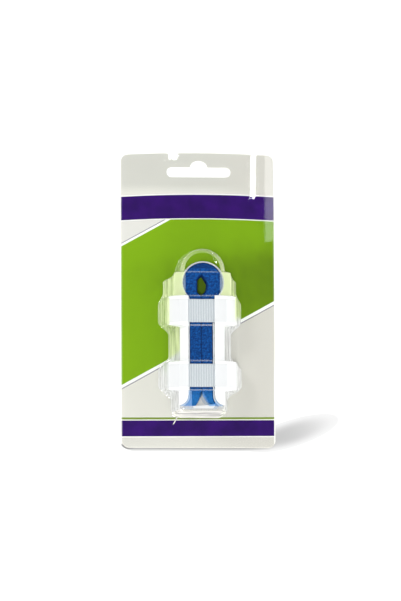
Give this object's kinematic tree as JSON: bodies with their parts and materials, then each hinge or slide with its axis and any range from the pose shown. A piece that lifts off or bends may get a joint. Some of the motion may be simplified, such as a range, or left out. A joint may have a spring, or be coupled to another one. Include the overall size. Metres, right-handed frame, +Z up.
{
  "type": "finger splint on a blister card",
  "caption": "Padded metal strip bent into a finger splint with hook-and-loop bands, held under a clear stepped blister on a printed hang card.",
  "frame": {"origin": "middle of the card's back face, on the surface that the card lies on", "axes": "+X across the card to the right, +Y along the card towards its hang slot, +Z up, out through the blister"},
  "size_m": [0.1016, 0.1958, 0.0255],
  "materials": {
    "printed_card": "coated printed board",
    "clear_plastic": "clear, glossy thermoformed sheet",
    "bare_metal": "satin sheet with bright cut edges",
    "blue_foam": "fine-celled soft foam",
    "white_band": "ribbed woven elastic",
    "hook_tape": "matt hook tape"
  },
  "bodies": {
    "root": {"backing_card": "printed_card", "blister": "clear_plastic", "splint_strip": "bare_metal", "foam_liner": "blue_foam", "upper_band": "white_band", "lower_band": "white_band", "upper_hook_tab": "hook_tape", "lower_hook_tab": "hook_tape"}
  },
  "joints": []
}
